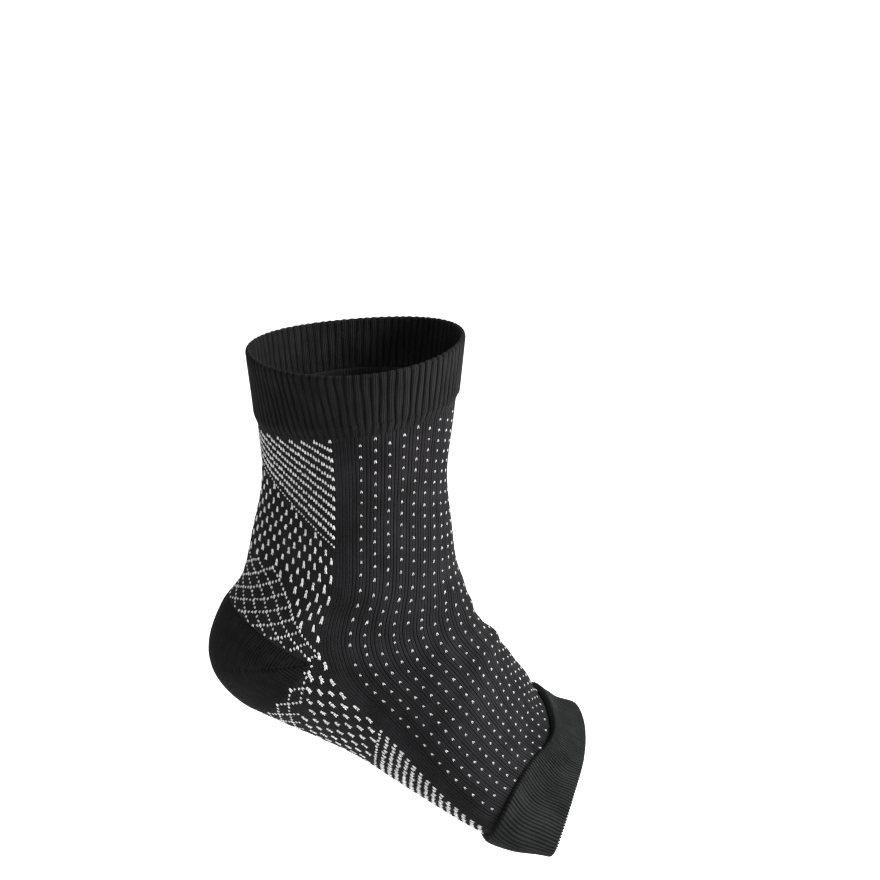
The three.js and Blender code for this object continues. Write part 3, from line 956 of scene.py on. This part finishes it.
sole_stitches = net_stitches(panel_wales, SOLE_NODE, sole_net_start, sole_net_end)
for wale in panel_wales[::DASH_WALES]:
    inward = from_front(wale) - PANEL_WALE
    drop = SOLE_DASH_STEP / 2 if inward // DASH_WALES % 2 else 0.0
    first = SOLE_DASH_COURSE + drop + SOLE_DASH_TILT * inward
    highest = max(sole_net_end(wale) + DASH_BELOW_NET, foot_start(wale) + DASH_BELOW_HEEL)
    for course in np.arange(first, FOOT_COURSES, SOLE_DASH_STEP):
        if highest < course < bar_course(0, wale) - DASH_ABOVE_BARS:
            sole_stitches += dash(wale, course, SOLE_DASH_CHAIN)
for bar in range(BAR_COUNT):
    for wale in panel_wales:
        course = bar_course(bar, wale) + BAR_ZIGZAG * (-1) ** wale
        if course < FOOT_COURSES + UNDER_BAND - 1:
            tall, wide = FIRST_BAR_STITCH if bar == 0 else BAR_STITCH
            sole_stitches.append((wale, course, tall, wide, BAR_STOUT, 0.0))
sole_stitches = hand_of_yarn(showing(foot, sole_stitches))
yarn_piece("sole_pattern", stitch_lobes(foot, sole_stitches), light_yarn)


# The heel pocket.
# A lens of plain, finer knit in near-black yarn, worked back and forth between two corners. The
# gores where its rows turn meet in a faint crease from each corner towards the back of the heel.

POCKET_COURSES = 64
POCKET_GAUGE = 1.35
POCKET_SLANT = 0.55
POCKET_WALL = 1.9 * MM
POCKET_ROWS = 40
POCKET_FULLNESS = 0.25 * MM
POCKET_EDGE = 12
GORE_DEPTH = 0.5 * MM
GORE_WIDTH = 0.035
GORE_AT_BACK = 0.25
GORE_WALES = (PANEL_WALE, WALES / 2 - 4)
EYELETS = (0.5, 0.13)
EYELET_REACH = (0.005, 0.04)
EYELET_DEPTH = 0.6


def plain_furrow(wale, course):
    """1 between the wales of the plain knit and in the eyelets along its gores, 0 elsewhere."""
    middle = abs(course / (POCKET_COURSES * POCKET_GAUGE) - 0.5)
    eyelets = (wale * EYELETS[0] + course * EYELETS[1]).wave() * (1 - middle.rise(*EYELET_REACH))
    return (1 - abs(wale.fraction() - 0.5).rise(0.1, 0.42)) + eyelets * EYELET_DEPTH


heel_knit = knit_finish("heel_plain_knit", tint=(1.0, 1.0, 1.0), dark=0.0008, light=0.0128,
                        furrow=plain_furrow, stitch_depth=0.5 * MM)
pocket_lie = ((FRONT_AT_HEEL, POCKET_CORNER),) * 2
pocket_cloth = Cloth(*pocket_edges(grid_turns * WALES), POCKET_COURSES, pocket_lie)
pocket_wales = tube_wales[from_front(tube_wales) > PANEL_WALE]


def pocket_relief(wale, course):
    """A crease along the gores and a slight fullness between them and the edges."""
    share = course / POCKET_COURSES
    corner = 1 - ease(*GORE_WALES, from_front(wale))
    gore = GORE_DEPTH * swell(share, 0.5, GORE_WIDTH) * mix(GORE_AT_BACK, 1, corner)
    edge = np.clip(np.minimum(share, 1 - share) * POCKET_EDGE, 0, 1)
    return edge * (POCKET_FULLNESS - gore)


pocket = Shell()
pocket_courses = np.linspace(0, POCKET_COURSES, POCKET_ROWS + 1)
course, wale = np.meshgrid(pocket_courses, pocket_wales, indexing="ij")
inward = from_front(wale) - PANEL_WALE
half_way = 1 - abs(2 * course / POCKET_COURSES - 1)
slant = POCKET_SLANT * half_way * inward * (1 - inward / (WALES / 2 - PANEL_WALE))
slanted = wale - slant * np.where(wale < WALES / 2, 1, -1)
pocket_knit = np.stack([slanted, course], axis=-1) * POCKET_GAUGE
pocket_outer = pocket.corner_numbers(pocket_cloth.point(wale, course, pocket_relief(wale, course)))
pocket_inner = pocket.corner_numbers(pocket_cloth.point(wale, course, -POCKET_WALL))
pocket.quads(pocket_outer, pocket_knit, ((0, 0), (1, 0.6)))
pocket.quads(pocket_inner[:, ::-1], pocket_knit[:, ::-1], ((0, 0.61), (1, 0.96)))
pocket.quads(np.stack([pocket_inner[0], pocket_outer[0]]), pocket_knit[:2], ((0, 0.965), (1, 0.97)))
pocket.quads(np.stack([pocket_outer[-1], pocket_inner[-1]]), pocket_knit[-2:], ((0, 0.975), (1, 0.98)))
first_end = np.stack([pocket_inner[:, 0], pocket_outer[:, 0]], axis=1)
last_end = np.stack([pocket_outer[:, -1], pocket_inner[:, -1]], axis=1)
pocket.quads(first_end, pocket_knit[:, :2], ((0, 0.985), (0.4, 0.995)))
pocket.quads(last_end, pocket_knit[:, -2:], ((0.6, 0.985), (1, 0.995)))
heel_pocket = pocket.piece("heel_pocket_knit", heel_knit)
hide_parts("heel_pocket")


# The cuff.
# A doubled welt of one-and-one rib in the charcoal yarn, turned over at the rim. It widens towards
# the top, its ribs slant a little at the back, and its foot is knitted on to the tube.

CUFF_RIBS = 84
CUFF_RIB_SAMPLES = 10
CUFF_RIB_DEPTH = 0.5 * MM
CUFF_OUT = 1.5 * MM
CUFF_IN = -1.1 * MM
CUFF_COURSES = 36
CUFF_LIP_TAPER = 0.2
RIM_ROUND = 0.05
RIM_SAG = 0.08
RIM_SERRATION = 0.004
NOTCH_REACH = 1.5 * RIM_ROUND
CUFF_LEAN = 3 / WALES
LEAN_TURN = 0.34
LEAN_REACH = 0.12
CUFF_WANDER = 0.0006
CUFF_WAVES = ((31, 1.3), (19, -0.9))
CUFF_FACE_ROWS = 40
CUFF_LINING_ROWS = 14
RIM_STEPS = 8
INNER_RIBS = -0.35
LIP_EDGE = 0.06 * MM
SEAT = 0.02 * MM
CUFF_SEAT_ROW = 0.7
CUFF_END_IN = -0.8 * MM
LINING_SETTLES = 0.15
LINING_RIBS_START = 0.2
END_CLEARANCE = 0.005
FURROW_SHARPNESS = 4
RIB_PULL = (0.55, 1.2)


def rib_furrow(wale, course):
    """1 in the furrow of a one-and-one rib, 0 on its crest."""
    return (1 - (wale * 0.5).wave()).rise(0.45, 1.0)


def ribbed_band(rows, ribs, samples, drift):
    """A closed ribbed band round the sock. Rows: station, out, depth of the ribs and course.
    drift gives how far the band's cloth slips along and round the sock at each place."""
    station, out, depth, course = np.array(rows).T[:, :, None]
    column = np.arange(ribs * samples + 1)
    turn = column / (ribs * samples)
    phase = np.cos(2 * math.pi * column / samples)
    pull = uneven.uniform(*RIB_PULL, ribs)[column // samples % ribs]
    furrow = (0.5 - 0.5 * phase) ** FURROW_SHARPNESS * pull
    along, round_way = drift(station, out, turn, phase)
    points = on_sock(station + along, turn + round_way, out - depth * furrow)
    knit = np.stack(np.broadcast_arrays(2 * column / samples, course), axis=-1)
    band = Shell()
    numbers = band.corner_numbers(points, closed=True)
    numbers = np.vstack([numbers, numbers[:1]])
    band.quads(numbers, np.concatenate([knit, knit[:1]]), ((0, 0), (1, 1)))
    return band


def cuff_drift(station, out, turn, phase):
    """The rim sags at the sides and is notched by the ribs, which slant at the outer back and wander a
    little. The lip lies higher in front."""
    rise = np.clip(1 - station / CUFF_LIP, 0, 1)
    sag = RIM_SAG * at_sides(turn) * rise
    notch = RIM_SERRATION * phase * ease(NOTCH_REACH, 0, station)
    lifted = CUFF_LIP_RISE * at_front(turn) * ease(TUBE_TOP, CUFF_LIP - CUFF_LIP_TAPER, station)
    lean = CUFF_LEAN * rise * swell(turn, LEAN_TURN, LEAN_REACH)
    wave = sum(np.sin(2 * math.pi * (count * turn + tilt * station)) for count, tilt in CUFF_WAVES)
    return sag - notch - lifted, lean + CUFF_WANDER * wave


cuff_rows = []
for share in np.linspace(0, 1, CUFF_FACE_ROWS):
    station = mix(RIM_ROUND, CUFF_LIP, share)
    taper = ease(CUFF_LIP, CUFF_LIP - CUFF_LIP_TAPER, station)
    out = mix(LIP_EDGE, CUFF_OUT, taper)
    cuff_rows.append((station, out, CUFF_RIB_DEPTH * taper, CUFF_COURSES * share))
cuff_foot = TUBE_TOP - END_CLEARANCE
cuff_seat = mix(TUBE_TOP, CUFF_LIP, CUFF_SEAT_ROW)
for station, out in ((CUFF_LIP, SEAT), (cuff_seat, SEAT), (cuff_foot, SEAT), (cuff_foot, CUFF_END_IN)):
    cuff_rows.append((station, out, 0.0, CUFF_COURSES))
for share in np.linspace(0, 1, CUFF_LINING_ROWS):
    station = mix(cuff_foot, RIM_ROUND, share)
    out = mix(-TUBE_WALL, CUFF_IN, ease(0, LINING_SETTLES, share))
    depth = INNER_RIBS * CUFF_RIB_DEPTH * ease(0, LINING_RIBS_START, share)
    cuff_rows.append((station, out, depth, CUFF_COURSES * (2 - share)))
for angle in np.linspace(0, math.pi, RIM_STEPS + 1)[1:-1]:
    station = RIM_ROUND * (1 - math.sin(angle))
    share = 0.5 - 0.5 * math.cos(angle)
    depth = CUFF_RIB_DEPTH * mix(INNER_RIBS, 1.0, share)
    cuff_rows.append((station, mix(CUFF_IN, CUFF_OUT, share), depth, CUFF_COURSES * 2 + angle))
cuff_knit = knit_finish("charcoal_cuff_rib", tint=(1.0, 1.0, 1.0), dark=0.0015, light=0.0102,
                        furrow=rib_furrow, stitch_depth=0.35 * MM)
cuff_shell = ribbed_band(cuff_rows, CUFF_RIBS, CUFF_RIB_SAMPLES, cuff_drift)
ankle_cuff = cuff_shell.piece("ankle_cuff_knit", cuff_knit)
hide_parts("ankle_cuff")


# The toe band.
# A broad doubled band of fine rib in a dark, slightly green grey, knitted on at the open end. Its
# back edge stands up in a roll over the tube, and its ribs wander where the cloth puckers on top.

BAND_RIBS = 144
BAND_RIB_SAMPLES = 6
BAND_RIB_DEPTH = 0.6 * MM
BAND_ROLL = 2.6 * MM
ROLL_ROUND = 0.06
ROLL_STEPS = 7
ROLL_SETTLES = 0.35
BAND_OUT = 1.8 * MM
BAND_IN = -1.1 * MM
BAND_FRONT = 15.04
BAND_ROUND = 0.05
BAND_FACE_ROWS = 36
BAND_LINING_ROWS = 12
BAND_COURSES = 30
ROLL_COURSES = 4
ROLL_CURL = 3
RIM_COURSES = 3
BAND_SEAT_ROW = 0.1
BAND_SERRATION = 0.012
SERRATION_REACH = 0.08
BAND_SWEEP = 0.045
SWEEP_TURN = 0.12
SWEEP_SPREAD = 0.15
BAND_RIM_BOW = 0.08
BAND_RIM_TUCK = 0.25
BAND_RIPPLE = 0.003
RIPPLE_WAVES = (1.6, 3)
RIPPLE_TURN = 0.08
RIPPLE_SPREAD = 0.16


def band_drift(station, out, turn, phase):
    """Both edges follow their own curve, and the inner one lies against the end of the tube. The
    front edge is notched by the ribs, which sweep down from the roll and ripple on top."""
    aside = (turn + 0.5) % 1.0 - 0.5
    share = np.clip((station - BAND_LIP) / (BAND_FRONT - BAND_LIP), 0, 1)
    lip, rim = band_lip(turn) - BAND_LIP, band_edge(turn, BAND_RIM_BOW, 0.0, BAND_RIM_TUCK)
    inside = (out < BAND_OUT / 2) & (station > TUBE_END)
    bow = mix(lip, rim, share) * np.where(inside, ease(TUBE_END, BAND_FRONT, station), 1)
    notch = BAND_SERRATION * phase * ease(BAND_FRONT - SERRATION_REACH, BAND_FRONT, station)
    sweep = -BAND_SWEEP * (1 - share) ** 2 * swell(aside, SWEEP_TURN, SWEEP_SPREAD)
    wave = np.sin(2 * math.pi * (RIPPLE_WAVES[0] * share + RIPPLE_WAVES[1] * turn))
    ripple = BAND_RIPPLE * wave * swell(aside, RIPPLE_TURN, RIPPLE_SPREAD)
    return bow + notch, sweep + ripple


band_rows = []
for angle in np.linspace(0, math.pi / 2, ROLL_STEPS):
    station = BAND_LIP + ROLL_ROUND * (1 - math.cos(angle))
    out = mix(-BAND_GROOVE, BAND_ROLL, math.sin(angle))
    band_rows.append((station, out, BAND_RIB_DEPTH * math.sin(angle), ROLL_CURL * angle))
for share in np.linspace(0, 1, BAND_FACE_ROWS)[1:]:
    station = mix(BAND_LIP + ROLL_ROUND, BAND_FRONT - BAND_ROUND, share)
    out = mix(BAND_ROLL, BAND_OUT, ease(0, ROLL_SETTLES, share))
    band_rows.append((station, out, BAND_RIB_DEPTH, ROLL_COURSES + BAND_COURSES * share))
for angle in np.linspace(0, math.pi, RIM_STEPS + 1)[1:-1]:
    station = BAND_FRONT - BAND_ROUND * (1 - math.sin(angle))
    share = 0.5 - 0.5 * math.cos(angle)
    depth = BAND_RIB_DEPTH * mix(1.0, INNER_RIBS, share)
    course = ROLL_COURSES + BAND_COURSES + angle
    band_rows.append((station, mix(BAND_OUT, BAND_IN, share), depth, course))
band_foot = TUBE_END + END_CLEARANCE
lining_start = ROLL_COURSES + RIM_COURSES + BAND_COURSES
for share in np.linspace(0, 1, BAND_LINING_ROWS):
    station = mix(BAND_FRONT - BAND_ROUND, band_foot, share)
    out = mix(BAND_IN, -TUBE_WALL, ease(1 - LINING_SETTLES, 1, share))
    depth = INNER_RIBS * BAND_RIB_DEPTH * ease(1, 1 - LINING_RIBS_START, share)
    band_rows.append((station, out, depth, lining_start + BAND_COURSES * share))
for station in (band_foot, mix(BAND_LIP, TUBE_END, BAND_SEAT_ROW)):
    band_rows.append((station, SEAT, 0.0, lining_start + BAND_COURSES + 1))
band_knit = knit_finish("grey_band_rib", tint=(0.96, 1.04, 1.0), dark=0.003, light=0.02,
                        furrow=rib_furrow, stitch_depth=0.3 * MM)
band_shell = ribbed_band(band_rows, BAND_RIBS, BAND_RIB_SAMPLES, band_drift)
toe_band = band_shell.piece("toe_band_knit", band_knit)
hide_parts("toe_band")


# Floor, light and camera.
# A wide pale floor well below the sock and a white room. A large soft key light stands on the toe
# side, a weak one overhead and a weak reflector low on the outer side, where the camera is.

FLOOR_DROP = 0.35
FLOOR_RADIUS = 30.0
FLOOR_SIDES = 96
floor_mesh = bpy.data.meshes.new("floor")
floor_level = cad_box[0][2] - FLOOR_DROP
floor_points = []
for angle in np.linspace(0, 2 * math.pi, FLOOR_SIDES, endpoint=False):
    floor_points.append((FLOOR_RADIUS * math.cos(angle), FLOOR_RADIUS * math.sin(angle), floor_level))
floor_mesh.from_pydata(floor_points, [], [tuple(range(FLOOR_SIDES))])
floor = bpy.data.objects.new("floor", floor_mesh)
bpy.context.scene.collection.objects.link(floor)
FLOOR_GLOSS = {"Roughness": 0.9, "Specular IOR Level": 0.2}
floor_finish, floor_shader, floor_tree = start_finish("pale_floor", FLOOR_GLOSS)
floor_place = floor_tree.node("ShaderNodeTexCoord", {}, {}, give="Object")
feed(floor_shader, {"Base Color": floor_place.noise(3.0, 2.0).blend(grey(0.94), grey(0.96))})
floor_mesh.materials.append(floor_finish)

ROOM_LIGHT = 1.05
room = bpy.data.worlds.new("white_room")
room.use_nodes = True
walls = room.node_tree.nodes["Background"]
walls.inputs["Color"].default_value = grey(1.0)
walls.inputs["Strength"].default_value = ROOM_LIGHT
bpy.context.scene.world = room
bpy.context.scene.view_settings.view_transform = "Standard"

# Name, place, size and power of each light; all face the ankle.
LIGHTS = (
    ("key", (1.7, -0.35, 1.0), 1.0, 155.0),
    ("overhead", (0.4, -0.4, 1.7), 1.2, 11.0),
    ("reflector", (0.35, -0.9, -0.4), 1.0, 10.0),
)


def aim(thing, target):
    way = np.array(target) - np.array(thing.location)
    flat = math.hypot(way[0], way[1])
    thing.rotation_euler = (math.atan2(flat, -way[2]), 0.0, math.atan2(way[1], way[0]) - math.pi / 2)


for name, place, size, power in LIGHTS:
    lamp = bpy.data.lights.new(name, "AREA")
    lamp.shape = "DISK"
    lamp.size = size
    lamp.energy = power
    light = bpy.data.objects.new(name, lamp)
    light.location = place
    aim(light, (0.0, 0.0, 0.0))
    bpy.context.scene.collection.objects.link(light)

VIEW_TARGET = (0.04002, 0.0, 0.06548)
VIEW_DISTANCE = 1.4
VIEW_ELEVATION = math.radians(18.5)
VIEW_LENS = 124.5
VIEW_SENSOR = 36.0
view_camera = bpy.data.cameras.new("view")
view_camera.sensor_width = VIEW_SENSOR
view_camera.lens = VIEW_LENS
camera = bpy.data.objects.new("view", view_camera)
camera.location = (
    VIEW_TARGET[0],
    VIEW_TARGET[1] - VIEW_DISTANCE * math.cos(VIEW_ELEVATION),
    VIEW_TARGET[2] + VIEW_DISTANCE * math.sin(VIEW_ELEVATION),
)
aim(camera, VIEW_TARGET)
bpy.context.scene.collection.objects.link(camera)
bpy.context.scene.camera = camera
